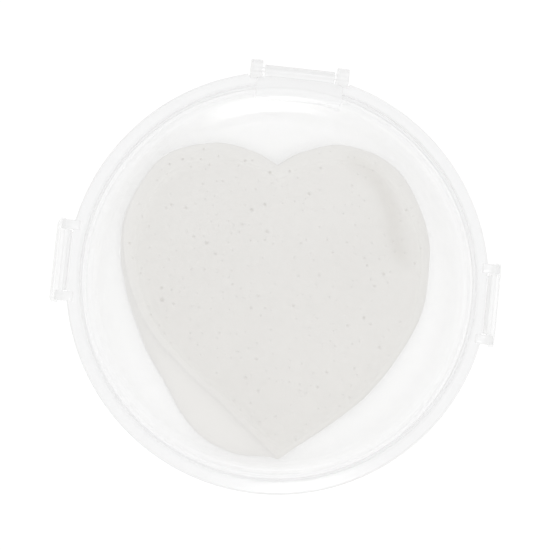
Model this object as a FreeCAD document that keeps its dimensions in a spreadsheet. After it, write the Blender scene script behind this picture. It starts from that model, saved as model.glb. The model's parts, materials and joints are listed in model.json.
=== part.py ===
import FreeCAD, Part
import os

import Sketcher

# A pocket wet palette: a round hinged case of clear polypropylene, a sponge that holds the water
# and a membrane on top of it. The origin lies on the case's axis at table level, +Y points to the
# hinge and +Z up. The clips are drawn closed and then turned a little outwards, to where their
# hooks are just free of the tray, so that each of them and the lid can move on its own.

doc = FreeCAD.newDocument("wet_palette")
sheet = doc.addObject("Spreadsheet::Sheet", "Sizes")

SIZES = {
    # tray
    "rim_radius": 45.0,
    "past_rim": 46.0,
    "rim_cut_height": 8.0,
    "floor_top": 1.6,
    "foot_recess": 0.4,
    "foot_pad_radius": 14.0,
    "foot_ring_radius": 31.0,
    "tray_out_low": 40.4,
    "tray_out_high": 40.8,
    "tray_in_low": 39.0,
    "tray_in_high": 39.3,
    "tray_corner_out": 5.0,
    "tray_corner_in": 3.6,
    "flange_under": 16.0,
    "flange_top": 17.5,
    "flange_round": 0.4,
    "lip_out": 40.25,
    "lip_top": 19.3,
    "lip_round": 0.3,
    "bead_radius": 42.35,
    "bead_half": 0.25,
    "bead_height": 0.3,
    # lid
    "lid_under": 17.6,
    "lid_flange_top": 19.6,
    "lid_wall_in": 40.6,
    "lid_wall_out": 42.0,
    "lid_crown": 25.6,
    "lid_panel": 24.8,
    "lid_panel_radius": 35.0,
    "lid_crown_radius": 39.0,
    "lid_skin": 1.3,
    "lid_corner_out": 2.6,
    "lid_corner_in": 1.7,
    "groove_in": 41.7,
    "groove_out": 43.0,
    "groove_depth": 1.1,
    "hinge_land_in": 38.5,
    "hinge_land_in_side": 37.5,
    "hinge_land_bend": 4.5,
    "hinge_land_side": 42.2,
    "hinge_land_out": 42.8,
    "hinge_land_half": 9.2,
    "hinge_land_slope": 3.0,
    "hinge_land_top": 25.2,
    # seal
    "seal_gap": 0.05,
    "seal_notch_half": 0.35,
    "seal_notch_depth": 0.35,
    # hinge
    "hinge_back": 45.1,
    "hinge_level": 17.6,
    "ear_radius": 2.05,
    "ear_start": 8.0,
    "ear_width": 2.6,
    "ear_foot": 11.5,
    "ear_root": 39.1,
    "knuckle_radius": 1.15,
    "knuckle_half": 7.5,
    "knuckle_room": 0.25,
    "web_front": 43.3,
    "web_back": 45.0,
    "web_nose": 46.1,
    "web_nose_level": 18.2,
    "side_room": 0.3,
    "hinge_pin_radius": 0.6,
    # clips
    "clip_out": 45.75,
    "clip_level": 18.9,
    "clip_pin_radius": 0.5,
    "clip_hub_radius": 1.15,
    "clip_hub_half": 6.4,
    "clip_half": 9.0,
    "clip_seat": 44.25,
    "flap_in": 46.05,
    "flap_out": 47.15,
    "flap_top": 20.05,
    "flap_shoulder": 17.3,
    "flap_bend": 11.3,
    "flap_low": 9.6,
    "flap_flare": 0.6,
    "flap_corner": 2.4,
    "hook_tip": 45.25,
    "hook_top": 13.1,
    "hook_low": 11.8,
    "hook_half": 5.4,
    "hook_root": 46.35,
    "hook_blunt": 0.4,
    "grip_height": 0.25,
    "grip_width": 0.6,
    "grip_pitch": 1.3,
    "grip_root": 46.85,
    "lug_room_in": 43.5,
    "lug_room_out": 48.2,
    "lug_room_top": 21.0,
    "lug_room_width": 4.0,
    "clip_rest_turn": 6.6,
    "lug_start": 6.6,
    "lug_width": 2.0,
    "lug_radius": 1.2,
    "lug_root": 43.0,
    "ledge_out": 45.8,
    "ledge_in": 40.2,
    "ledge_half": 6.2,
    "ledge_under": 13.2,
    "ledge_top": 17.0,
    # pins in their bores
    "tight_fit": 0.01,
    "loose_fit": 0.05,
    # contents
    "heart_width": 66.2,
    "heart_turn": 5.4,
    "sponge_thick": 13.0,
    "sponge_round": 1.6,
    "sponge_foot_inset": 0.97,
    "sponge_top_inset": 0.96,
    "sponge_gap": 0.2,
    "paper_thick": 0.15,
    "paper_gap": 0.1,
    "paper_inset": 0.93,
    "paper_right": 0.3,
    "paper_front": 1.2,
}


def fill_sheet():
    """Write every driving dimension into the sheet, one row each, with its name as the alias."""
    for row, (name, size) in enumerate(SIZES.items(), start=1):
        sheet.set(f"A{row}", name)
        sheet.set(f"B{row}", str(size))
        sheet.setAlias(f"B{row}", name)
    doc.recompute()


def bound(text):
    """Turn the names in a formula into references to the sheet."""
    words = []
    for word in text.split():
        words.append(f"Sizes.{word}" if word in SIZES else word)
    return " ".join(words)


def value(text):
    """The number that a formula of sheet names comes to now."""
    return float(sheet.evalExpression(bound(text)))


def new_body(label):
    body = doc.addObject("PartDesign::Body", label)
    body.Label = label
    return body


def new_sketch(body, name, plane, offset=None):
    """A sketch on one of the body's own origin planes, moved along its normal by a formula."""
    support = next(o for o in body.Origin.OriginFeatures if o.Role == plane)
    sketch = body.newObject("Sketcher::SketchObject", name)
    sketch.AttachmentSupport = [(support, "")]
    sketch.MapMode = "FlatFace"
    if offset:
        sketch.setExpression("AttachmentOffset.Base.z", bound(offset))
    return sketch


def hold_point(sketch, piece, end, across, up):
    """Fix one point of the sketch at two formulas, measured from the sketch's origin."""
    for kind, text in (("DistanceX", across), ("DistanceY", up)):
        number = sketch.addConstraint(Sketcher.Constraint(kind, -1, 1, piece, end, value(text)))
        sketch.setExpression(f"Constraints[{number}]", bound(text))


def draw_outline(sketch, corners):
    """Draw a closed loop of straight lines through corners given as pairs of formulas."""
    first = sketch.GeometryCount
    places = [FreeCAD.Vector(value(across), value(up), 0) for across, up in corners]
    count = len(places)
    for index in range(count):
        sketch.addGeometry(Part.LineSegment(places[index], places[(index + 1) % count]), False)
    for index in range(count):
        following = first + (index + 1) % count
        sketch.addConstraint(Sketcher.Constraint("Coincident", first + index, 2, following, 1))
    for index, (across, up) in enumerate(corners):
        hold_point(sketch, first + index, 1, across, up)


def draw_circle(sketch, across, up, radius):
    centre = FreeCAD.Vector(value(across), value(up), 0)
    circle = Part.Circle(centre, FreeCAD.Vector(0, 0, 1), value(radius))
    piece = sketch.addGeometry(circle, False)
    hold_point(sketch, piece, 3, across, up)
    number = sketch.addConstraint(Sketcher.Constraint("Radius", piece, value(radius)))
    sketch.setExpression(f"Constraints[{number}]", bound(radius))


def turn_profile(body, sketch, name):
    """Turn a half section about the case's axis."""
    turned = body.newObject("PartDesign::Revolution", name)
    turned.Profile = sketch
    turned.ReferenceAxis = (sketch, ["V_Axis"])
    turned.Angle = 360
    doc.recompute()
    return turned


def pad(body, sketch, name, length):
    """Add material, half of the length to each side of the sketch."""
    added = body.newObject("PartDesign::Pad", name)
    added.Profile = sketch
    added.SideType = "Symmetric"
    added.setExpression("Length", bound(length))
    doc.recompute()
    return added


def pocket(body, sketch, name, length):
    """Cut material, half of the length to each side of the sketch, and see that some is gone."""
    before = body.Shape.Volume
    cut = body.newObject("PartDesign::Pocket", name)
    cut.Profile = sketch
    cut.SideType = "Symmetric"
    cut.setExpression("Length", bound(length))
    doc.recompute()
    if body.Shape.Volume > before - 1e-4:
        raise RuntimeError(f"{name} cuts nothing")
    return cut


def round_edges(body, name, radius, chosen):
    """Round every edge of the body so far that the given test picks."""
    base = body.Tip
    names = [f"Edge{n}" for n, edge in enumerate(base.Shape.Edges, start=1) if chosen(edge)]
    if not names:
        raise RuntimeError(f"{name} finds no edge")
    fillet = body.newObject("PartDesign::Fillet", name)
    fillet.Base = (base, names)
    fillet.setExpression("Radius", bound(radius))
    doc.recompute()
    return fillet


def ring_at(*rings):
    """A test for full circles about the case's axis, given as pairs of radius and level."""
    wanted = [(value(radius), value(level)) for radius, level in rings]

    def chosen(edge):
        if not isinstance(edge.Curve, Part.Circle):
            return False
        at = (edge.Curve.Radius, edge.Curve.Center.z)
        return any(abs(at[0] - r) < 1e-4 and abs(at[1] - z) < 1e-4 for r, z in wanted)

    return chosen


def make_base_tray():
    body = new_body("base_tray")
    section = new_sketch(body, "tray_section", "XZ_Plane")
    draw_outline(section, [
        ("0", "0"),
        ("foot_pad_radius", "0"),
        ("foot_pad_radius", "foot_recess"),
        ("foot_ring_radius", "foot_recess"),
        ("foot_ring_radius", "0"),
        ("tray_out_low", "0"),
        ("tray_out_high", "flange_under"),
        ("rim_radius", "flange_under"),
        ("rim_radius", "flange_top"),
        ("bead_radius + bead_half", "flange_top"),
        ("bead_radius + bead_half * 0.5", "flange_top + bead_height"),
        ("bead_radius - bead_half * 0.5", "flange_top + bead_height"),
        ("bead_radius - bead_half", "flange_top"),
        ("lip_out", "flange_top"),
        ("lip_out", "lip_top"),
        ("tray_in_high", "lip_top"),
        ("tray_in_low", "floor_top"),
        ("0", "floor_top"),
    ])
    turn_profile(body, section, "tray_shell")
    round_edges(body, "tray_corner_outside", "tray_corner_out", ring_at(("tray_out_low", "0")))
    round_edges(body, "tray_corner_inside", "tray_corner_in", ring_at(("tray_in_low", "floor_top")))
    round_edges(body, "flange_edges", "flange_round", ring_at(
        ("rim_radius", "flange_under"), ("rim_radius", "flange_top")))
    round_edges(body, "lip_edges", "lip_round", ring_at(
        ("lip_out", "lip_top"), ("tray_in_high", "lip_top")))

    room = new_sketch(body, "knuckle_room", "XY_Plane", "flange_top")
    half = "knuckle_half + side_room"
    front = "hinge_back - knuckle_radius - knuckle_room"
    draw_outline(room, [
        (f"0 - ( {half} )", front), (half, front),
        (half, "past_rim"), (f"0 - ( {half} )", "past_rim"),
    ])
    pocket(body, room, "knuckle_cut", "rim_cut_height")

    for side, sign in (("left", "-1"), ("right", "1")):
        middle = f"{sign} * ( ear_start + ear_width / 2 )"
        root = new_sketch(body, f"ear_root_{side}", "YZ_Plane", middle)
        draw_outline(root, [
            ("hinge_back + ear_radius", "hinge_level"),
            ("hinge_back + ear_radius", "flange_under"),
            ("ear_root", "ear_foot"),
            ("ear_root", "flange_top - flange_round"),
            ("hinge_back - ear_radius", "flange_top - flange_round"),
            ("hinge_back - ear_radius", "hinge_level"),
        ])
        pad(body, root, f"ear_bracket_{side}", "ear_width")
        eye = new_sketch(body, f"ear_outline_{side}", "YZ_Plane", middle)
        draw_circle(eye, "hinge_back", "hinge_level", "ear_radius")
        pad(body, eye, f"ear_{side}", "ear_width")

        ledge = new_sketch(body, f"ledge_outline_{side}", "XY_Plane", "( ledge_under + ledge_top ) / 2")
        near, far = f"{sign} * ledge_in", f"{sign} * ledge_out"
        draw_outline(ledge, [
            (near, "0 - ledge_half"), (far, "0 - ledge_half"), (far, "ledge_half"), (near, "ledge_half"),
        ])
        pad(body, ledge, f"ledge_{side}", "ledge_top - ledge_under")

    bore = new_sketch(body, "ear_bore_outline", "YZ_Plane")
    draw_circle(bore, "hinge_back", "hinge_level", "hinge_pin_radius + tight_fit")
    pocket(body, bore, "ear_bore", "2 * ( ear_start + ear_width + 1 )")
    return body


def make_lid_shell():
    body = new_body("lid_shell")
    section = new_sketch(body, "lid_section", "XZ_Plane")
    draw_outline(section, [
        ("0", "lid_panel"),
        ("lid_panel_radius", "lid_panel"),
        ("lid_crown_radius", "lid_crown"),
        ("lid_wall_out", "lid_crown"),
        ("lid_wall_out", "lid_flange_top"),
        ("rim_radius", "lid_flange_top"),
        ("rim_radius", "lid_under"),
        ("groove_out", "lid_under"),
        ("groove_out", "lid_under + groove_depth"),
        ("groove_in", "lid_under + groove_depth"),
        ("groove_in", "lid_under"),
        ("lid_wall_in", "lid_under"),
        ("lid_wall_in", "lid_panel - lid_skin"),
        ("0", "lid_panel - lid_skin"),
    ])
    turn_profile(body, section, "lid_dome")
    round_edges(body, "lid_corner_outside", "lid_corner_out", ring_at(("lid_wall_out", "lid_crown")))
    round_edges(body, "lid_corner_inside", "lid_corner_in", ring_at(
        ("lid_wall_in", "lid_panel - lid_skin")))
    round_edges(body, "lid_flange_edges", "flange_round", ring_at(
        ("rim_radius", "lid_under"), ("rim_radius", "lid_flange_top")))

    land = new_sketch(body, "hinge_land_outline", "XY_Plane", "( lid_flange_top + hinge_land_top ) / 2")
    draw_outline(land, [
        ("0 - hinge_land_half", "hinge_land_in_side"),
        ("0 - hinge_land_bend", "hinge_land_in"),
        ("hinge_land_bend", "hinge_land_in"),
        ("hinge_land_half", "hinge_land_in_side"),
        ("hinge_land_half", "hinge_land_side"),
        ("hinge_land_half - hinge_land_slope", "hinge_land_out"),
        ("hinge_land_slope - hinge_land_half", "hinge_land_out"),
        ("0 - hinge_land_half", "hinge_land_side"),
    ])
    pad(body, land, "hinge_land", "hinge_land_top - lid_flange_top")

    for side, sign in (("left", "-1"), ("right", "1")):
        room = new_sketch(body, f"ear_room_{side}", "XY_Plane", "lid_flange_top")
        near = f"{sign} * knuckle_half"
        far = f"{sign} * ( ear_start + ear_width + side_room )"
        front = "hinge_back - ear_radius - knuckle_room"
        draw_outline(room, [
            (near, front), (far, front), (far, "past_rim"), (near, "past_rim"),
        ])
        pocket(body, room, f"ear_cut_{side}", "rim_cut_height")

    web = new_sketch(body, "knuckle_web_outline", "YZ_Plane")
    draw_outline(web, [
        ("web_front", "lid_under"),
        ("web_front", "lid_flange_top"),
        ("web_back", "lid_flange_top"),
        ("web_nose", "web_nose_level"),
        ("hinge_back", "hinge_level"),
    ])
    pad(body, web, "knuckle_web", "2 * knuckle_half")
    knuckle = new_sketch(body, "knuckle_outline", "YZ_Plane")
    draw_circle(knuckle, "hinge_back", "hinge_level", "knuckle_radius")
    pad(body, knuckle, "knuckle", "2 * knuckle_half")
    bore = new_sketch(body, "knuckle_bore_outline", "YZ_Plane")
    draw_circle(bore, "hinge_back", "hinge_level", "hinge_pin_radius + loose_fit")
    pocket(body, bore, "knuckle_bore", "2 * knuckle_half + 1")

    for side, sign in (("left", "-1"), ("right", "1")):
        room = new_sketch(body, f"clip_room_{side}", "XY_Plane", "lid_flange_top")
        near, far = f"{sign} * clip_seat", f"{sign} * past_rim"
        draw_outline(room, [
            (near, "0 - clip_half - side_room"), (far, "0 - clip_half - side_room"),
            (far, "clip_half + side_room"), (near, "clip_half + side_room"),
        ])
        pocket(body, room, f"clip_cut_{side}", "rim_cut_height")
        for end, way in (("front", "1"), ("back", "-1")):
            middle = f"{way} * ( lug_start + lug_width / 2 )"
            root = new_sketch(body, f"lug_root_{side}_{end}", "XZ_Plane", middle)
            inner, outer = f"{sign} * lug_root", f"{sign} * clip_out"
            draw_outline(root, [
                (inner, "clip_level - lug_radius"), (outer, "clip_level - lug_radius"),
                (outer, "clip_level + lug_radius"), (inner, "clip_level + lug_radius"),
            ])
            pad(body, root, f"lug_arm_{side}_{end}", "lug_width")
            eye = new_sketch(body, f"lug_outline_{side}_{end}", "XZ_Plane", middle)
            draw_circle(eye, outer, "clip_level", "lug_radius")
            pad(body, eye, f"lug_{side}_{end}", "lug_width")
        bore = new_sketch(body, f"lug_bore_outline_{side}", "XZ_Plane")
        draw_circle(bore, f"{sign} * clip_out", "clip_level", "clip_pin_radius + tight_fit")
        pocket(body, bore, f"lug_bore_{side}", "2 * ( lug_start + lug_width + 1 )")
    return body


def make_seal_ring():
    """A flat silicone ring in the lid's groove, with a channel that sits over the tray's bead."""
    body = new_body("seal_ring")
    section = new_sketch(body, "seal_section", "XZ_Plane")
    inner, outer = "groove_in + seal_gap", "groove_out - seal_gap"
    low, high = "flange_top + seal_gap", "lid_under + groove_depth - seal_gap"
    draw_outline(section, [
        (inner, low),
        ("bead_radius - seal_notch_half", low),
        ("bead_radius - seal_notch_half", f"{low} + seal_notch_depth"),
        ("bead_radius + seal_notch_half", f"{low} + seal_notch_depth"),
        ("bead_radius + seal_notch_half", low),
        (outer, low),
        (outer, high),
        (inner, high),
    ])
    turn_profile(body, section, "seal")
    return body


def make_pin(label, radius, length):
    """A plain steel pin along its own +Z; its Placement lays it in its bore."""
    pin = doc.addObject("Part::Cylinder", label)
    pin.Label = label
    pin.setExpression("Radius", bound(radius))
    pin.setExpression("Height", bound(length))
    return pin


def make_hinge_pin():
    length = "2 * ( ear_start + ear_width - 0.2 )"
    pin = make_pin("hinge_pin", "hinge_pin_radius", length)
    place = FreeCAD.Vector(-value(length) / 2, value("hinge_back"), value("hinge_level"))
    pin.Placement = FreeCAD.Placement(place, FreeCAD.Rotation(FreeCAD.Vector(0, 1, 0), 90))
    return pin


def make_latch_pin(side, sign):
    length = "2 * ( lug_start + lug_width - 0.2 )"
    pin = make_pin(f"latch_pin_{side}", "clip_pin_radius", length)
    place = FreeCAD.Vector(sign * value("clip_out"), value(length) / 2, value("clip_level"))
    pin.Placement = FreeCAD.Placement(place, FreeCAD.Rotation(FreeCAD.Vector(1, 0, 0), 90))
    return pin


def make_latch(side, sign):
    """One clip flap: a plate on a hub, with a hook behind it and grip ribs at its free end."""
    body = new_body(f"latch_{side}")

    def outline(name, points):
        sketch = new_sketch(body, name, "XZ_Plane")
        draw_outline(sketch, [(f"{sign} * ( {across} )", up) for across, up in points])
        return sketch

    plate = outline("plate_section", [
        ("flap_in", "flap_top"),
        ("flap_out", "flap_top"),
        ("flap_out", "flap_bend"),
        ("flap_out + flap_flare", "flap_low"),
        ("flap_in + flap_flare", "flap_low"),
        ("flap_in", "flap_bend"),
    ])
    pad(body, plate, "plate", "2 * clip_half")
    low = value("flap_low")
    round_edges(body, "plate_corners", "flap_corner", lambda edge: (
        abs(edge.CenterOfMass.z - low) < 1e-4
        and abs(abs(edge.CenterOfMass.y) - value("clip_half")) < 1e-4))

    hub = new_sketch(body, "hub_outline", "XZ_Plane")
    draw_circle(hub, f"{sign} * clip_out", "clip_level", "clip_hub_radius")
    pad(body, hub, "hub", "2 * clip_hub_half")
    hook = outline("hook_section", [
        ("hook_root", "hook_top"),
        ("hook_tip", "hook_top"),
        ("hook_tip", "hook_top - hook_blunt"),
        ("hook_root", "hook_low"),
    ])
    pad(body, hook, "hook", "2 * hook_half")
    for number in range(3):
        middle = f"flap_bend + grip_width + {number} * grip_pitch"
        rib = outline(f"grip_section_{number + 1}", [
            ("grip_root", f"{middle} - grip_width / 2"),
            ("flap_out + grip_height", f"{middle} - grip_width / 4"),
            ("flap_out + grip_height", f"{middle} + grip_width / 4"),
            ("grip_root", f"{middle} + grip_width / 2"),
        ])
        pad(body, rib, f"grip_{number + 1}", "2 * ( clip_half - flap_corner )")

    for end, way in (("front", "1"), ("back", "-1")):
        middle = f"{way} * ( clip_hub_half + lug_room_width / 2 )"
        room = new_sketch(body, f"lug_room_{end}", "XZ_Plane", middle)
        near, far = f"{sign} * lug_room_in", f"{sign} * lug_room_out"
        draw_outline(room, [
            (near, "flap_shoulder"), (far, "flap_shoulder"), (far, "lug_room_top"), (near, "lug_room_top"),
        ])
        pocket(body, room, f"lug_cut_{end}", "lug_room_width")
    bore = new_sketch(body, "hub_bore_outline", "XZ_Plane")
    draw_circle(bore, f"{sign} * clip_out", "clip_level", "clip_pin_radius + loose_fit")
    pocket(body, bore, "hub_bore", "2 * clip_hub_half + 1")

    pivot = FreeCAD.Vector(sign * value("clip_out"), 0, value("clip_level"))
    turn = FreeCAD.Rotation(FreeCAD.Vector(0, -sign, 0), value("clip_rest_turn"))
    body.Placement = FreeCAD.Placement(FreeCAD.Vector(0, 0, 0), turn, pivot)
    return body


# The heart, half by half, from the notch round the right lobe to the tip and back up the left
# side. The sponge is cut with a slanting lower left side, so its foot is fuller there.
NOTCH = (0.0, 25.0)
TIP = (0.6, -37.0)
RIGHT_SIDE = [(5.6, 28.0), (14.7, 29.4), (25.0, 25.0), (31.2, 14.7), (32.6, 4.5), (29.9, -8.6), (19.0, -23.7)]
LEFT_SIDE_FOOT = [(-9.0, -36.4), (-17.5, -31.6), (-24.0, -21.2), (-29.4, -10.6), (-33.1, 3.0),
                  (-32.4, 14.7), (-25.0, 26.6), (-14.0, 30.0), (-5.4, 28.2)]
LEFT_SIDE_TOP = [(-5.6, -31.2), (-12.4, -24.6), (-19.6, -18.2), (-27.6, -9.0), (-32.2, 3.0),
                 (-32.0, 14.7), (-24.8, 26.2), (-14.0, 29.6), (-5.4, 27.9)]
DRAWN_WIDTH = 66.2


def heart_wire(left_side, level, shrink=1.0, right=0.0, front=0.0):
    """A heart of two smooth halves that meet in a sharp notch and a soft tip."""
    scale = shrink * value("heart_width") / DRAWN_WIDTH
    edges = []
    for points in ([NOTCH, *RIGHT_SIDE, TIP], [TIP, *left_side, NOTCH]):
        curve = Part.BSplineCurve()
        curve.interpolate([
            FreeCAD.Vector(x * scale + right, y * scale - front, level) for x, y in points
        ])
        edges.append(curve.toShape())
    return Part.Wire(edges)


def lay_in_tray(label, shape, level):
    """Add a loose piece, turned as it lies in the tray, with its underside at a level."""
    piece = doc.addObject("Part::Feature", label)
    piece.Label = label
    piece.Shape = shape
    turn = FreeCAD.Rotation(FreeCAD.Vector(0, 0, 1), value("heart_turn"))
    piece.Placement = FreeCAD.Placement(FreeCAD.Vector(0, 0, level), turn)
    return piece


def make_sponge():
    thick, soft = value("sponge_thick"), value("sponge_round")
    wires = [
        heart_wire(LEFT_SIDE_FOOT, 0, value("sponge_foot_inset")),
        heart_wire(LEFT_SIDE_FOOT, soft),
        heart_wire(LEFT_SIDE_TOP, thick - soft),
        heart_wire(LEFT_SIDE_TOP, thick, value("sponge_top_inset")),
    ]
    shape = Part.makeLoft(wires, True, True)
    return lay_in_tray("sponge", shape, value("floor_top + sponge_gap"))


def make_palette_paper():
    """The membrane, cut smaller than the sponge's top and laid nearer its tip."""
    outline = heart_wire(
        LEFT_SIDE_TOP, 0, value("paper_inset"), value("paper_right"), value("paper_front"))
    shape = Part.Face(outline).extrude(FreeCAD.Vector(0, 0, value("paper_thick")))
    level = value("floor_top + sponge_gap + sponge_thick + paper_gap")
    return lay_in_tray("palette_paper", shape, level)


fill_sheet()
pieces = [
    make_base_tray(),
    make_lid_shell(),
    make_seal_ring(),
    make_hinge_pin(),
    make_sponge(),
    make_palette_paper(),
]
for side, sign in (("left", -1), ("right", 1)):
    pieces.append(make_latch_pin(side, sign))
    pieces.append(make_latch(side, sign))
doc.recompute()

for item in doc.Objects:
    if "Invalid" in item.State or "Error" in item.State:
        raise RuntimeError(f"{item.Label} failed: {item.State}")
for piece in pieces:
    if piece.Shape.isNull() or not piece.Shape.isValid() or len(piece.Shape.Solids) != 1:
        raise RuntimeError(f"{piece.Label} is not one valid solid")

os.makedirs("parts", exist_ok=True)
for piece in pieces:
    piece.Shape.exportStep(f"parts/{piece.Label}.step")
    box = piece.Shape.BoundBox
    print(f"{piece.Label}: {piece.Shape.Volume:.1f} mm3, x {box.XMin:.2f}..{box.XMax:.2f}, "
          f"y {box.YMin:.2f}..{box.YMax:.2f}, z {box.ZMin:.2f}..{box.ZMax:.2f}")
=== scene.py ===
import json
import math

import bmesh
import bpy
import numpy as np
from mathutils import Matrix, Vector, geometry


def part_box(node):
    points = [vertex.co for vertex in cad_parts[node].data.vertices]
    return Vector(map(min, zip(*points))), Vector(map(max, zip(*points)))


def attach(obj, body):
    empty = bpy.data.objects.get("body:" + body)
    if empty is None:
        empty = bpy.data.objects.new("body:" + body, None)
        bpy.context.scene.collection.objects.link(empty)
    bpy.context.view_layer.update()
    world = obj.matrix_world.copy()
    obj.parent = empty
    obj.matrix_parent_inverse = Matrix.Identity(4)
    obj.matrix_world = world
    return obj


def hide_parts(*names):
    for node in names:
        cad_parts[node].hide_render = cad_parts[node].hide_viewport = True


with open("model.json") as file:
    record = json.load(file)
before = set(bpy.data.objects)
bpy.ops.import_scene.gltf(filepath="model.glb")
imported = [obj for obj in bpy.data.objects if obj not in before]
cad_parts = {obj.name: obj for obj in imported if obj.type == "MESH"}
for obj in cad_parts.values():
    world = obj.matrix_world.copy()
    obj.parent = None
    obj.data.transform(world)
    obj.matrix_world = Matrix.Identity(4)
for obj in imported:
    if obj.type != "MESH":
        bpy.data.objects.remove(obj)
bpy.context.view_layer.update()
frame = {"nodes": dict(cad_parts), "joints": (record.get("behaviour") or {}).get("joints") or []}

# Lengths are in millimetres until new_object turns them into metres; lights, the camera and
# materials are in metres.
MM = 0.001


def corners_of(node):
    """A solid's lowest and highest corner."""
    low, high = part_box(node)
    return low / MM, high / MM


JOINTS = {joint["name"]: joint for joint in frame["joints"]}
TRAY_LOW, _ = corners_of("base_tray")
_, LID_HIGH = corners_of("lid_shell")
SEAL_LOW, SEAL_HIGH = corners_of("seal_ring")
SPONGE_LOW, SPONGE_HIGH = corners_of("sponge")

RIM = -TRAY_LOW.y
CROWN = LID_HIGH.z
HINGE = Vector(JOINTS["lid_hinge"]["pos_m"]) / MM
CLIP = Vector(JOINTS["right_clip_pivot"]["pos_m"]) / MM
CLIP_REST_TURN = -math.radians(JOINTS["right_clip_pivot"]["range_deg"][0])

# Tray: radii and heights
FOOT_DISC = 14.0
FOOT_RING = 31.0
FOOT_RECESS = 0.4
WALL_OUT_LOW = 40.4
WALL_OUT_HIGH = 40.8
WALL_IN_LOW = 39.0
WALL_IN_HIGH = 39.3
FOOT_BEND = 5.0
FLOOR_BEND = 3.6
FLOOR_TOP = 1.6
FLANGE_UNDER = 16.0
FLANGE_TOP = 17.5
LIP_OUT = 40.25
LIP_TOP = 19.3
BEAD_IN = 42.1
BEAD_OUT = 42.6
BEAD_SLOPE = 0.12
BEAD_HIGH = 0.3

# Lid: radii and heights
LID_UNDER = 17.6
LID_FLANGE_TOP = 19.6
LID_WALL_IN = 40.6
LID_WALL_OUT = 42.0
LID_THICK = 1.3
GROOVE_IN = 41.7
GROOVE_OUT = 43.0
GROOVE_DEEP = 1.1
PANEL_DROP = 0.8
PANEL_EDGE = 35.0
CROWN_EDGE = 39.0
EDGE_SOFT = 0.45
STEPS_AROUND = 288

# Hinge at the back: half lengths along X, reaches along Y
KNUCKLE_RADIUS = 1.15
KNUCKLE_HALF = 7.5
KNUCKLE_ROOT = 43.3
KNUCKLE_BORE = 0.65
KNUCKLE_ROOM_HALF = 7.8
KNUCKLE_ROOM_BACK = 43.7
EAR_RADIUS = 2.05
EAR_START = 8.0
EAR_END = 10.6
EAR_ROOT = 39.1
EAR_FOOT = 11.5
EAR_BORE = 0.61
EAR_ROOM_START = 7.5
EAR_ROOM_END = 10.9
EAR_ROOM_BACK = 42.8
LAND_HALF = 9.2
LAND_BEND = 4.5
LAND_FLAT = 6.2
LAND_IN = 38.5
LAND_IN_SIDE = 37.5
LAND_OUT = 42.8
LAND_OUT_SIDE = 42.2
LAND_LOW = 19.4
LAND_HIGH = 25.2

# Clips at the left and right: reaches along X, half lengths along Y, heights
LUG_RADIUS = 1.2
LUG_ROOT = 43.0
LUG_START = 6.6
LUG_END = 8.6
LUG_BORE = 0.51
SEAT_IN = 44.25
SEAT_HALF = 9.3
LEDGE_ROOT = 40.2
LEDGE_OUT = 45.8
LEDGE_LOW = 13.2
LEDGE_TOP = 17.0
LEDGE_HALF = 6.2
FLAP_IN = 46.05
FLAP_OUT = 47.15
FLAP_TOP = 20.05
FLAP_FOOT = 9.6
FLAP_BEND = 11.3
FLAP_FLARE = 0.6
FLAP_HALF = 9.0
FLAP_CORNER = 2.4
HUB_RADIUS = 1.15
HUB_HALF = 6.4
HUB_BORE = 0.55
HOOK_IN = 45.25
HOOK_TOP = 13.1
HOOK_TIP = 12.7
HOOK_FOOT = 11.8
HOOK_HALF = 5.4
RIBS = 3
RIB_PITCH = 1.3
RIB_LOW = 11.9
RIB_HALF = 6.6
RIB_PROUD = 0.25
RIB_ROOT_HALF = 0.3
RIB_TIP_HALF = 0.17
ROOTED = 0.3                    # hook and ribs start this far inside the flap's plate

# Blocks that cut: ends that have to lie clear of the solid
PAST = 46.0
KNUCKLE_ROOM_CUT = (14, 20)
FLANGE_CUT = (15, 22)
HINGE_BORE_END = 12
CLIP_BORE_END = 10
SHOULDER_IN, SHOULDER_OUT = 43.5, 48.2
SHOULDER_LOW, SHOULDER_HIGH = 17.3, 21.0
SHOULDER_END = 10.4
CORNER_END = 10.5
CORNER_FOOT = 8.5
CORNER_CUT = (45, 49)

# Seal: width of its section, half width of its channel
SEAL_WIDTH = 1.2
SEAL_CHANNEL = 0.35

SEED = 11


# ---------------------------------------------------------------- outlines and plain meshes


def rounded(corners, closed=True, steps=6):
    """Points along straight runs whose corners (x, y, radius) are rounded by arcs."""
    points = []
    count = len(corners)
    for index, (x, y, radius) in enumerate(corners):
        here = Vector((x, y))
        is_end = not closed and index in (0, count - 1)
        if radius <= 0 or is_end:
            points.append(here)
            continue
        back = Vector(corners[index - 1][:2]) - here
        ahead = Vector(corners[(index + 1) % count][:2]) - here
        half = back.angle(ahead) / 2
        reach = radius / math.tan(half)
        centre = here + (back.normalized() + ahead.normalized()).normalized() * radius / math.sin(half)
        start = here + back.normalized() * reach - centre
        sweep = start.angle_signed(here + ahead.normalized() * reach - centre)
        for step in range(steps + 1):
            turn = -sweep * step / steps
            points.append(centre + Matrix.Rotation(turn, 2) @ start)
    return points


def new_object(name, vertices, faces):
    """A mesh in the scene; the vertices come in millimetres."""
    mesh = bpy.data.meshes.new(name)
    mesh.from_pydata([tuple(c * MM for c in v) for v in vertices], [], faces)
    mesh.validate()
    obj = bpy.data.objects.new(name, mesh)
    bpy.context.scene.collection.objects.link(obj)
    return obj


def tidy_normals(obj):
    """Merge doubled points and turn every face outwards."""
    work = bmesh.new()
    work.from_mesh(obj.data)
    bmesh.ops.remove_doubles(work, verts=work.verts, dist=1e-6)
    bmesh.ops.recalc_face_normals(work, faces=work.faces)
    if work.calc_volume(signed=True) < 0:
        bmesh.ops.reverse_faces(work, faces=work.faces)
    work.to_mesh(obj.data)
    work.free()


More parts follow.
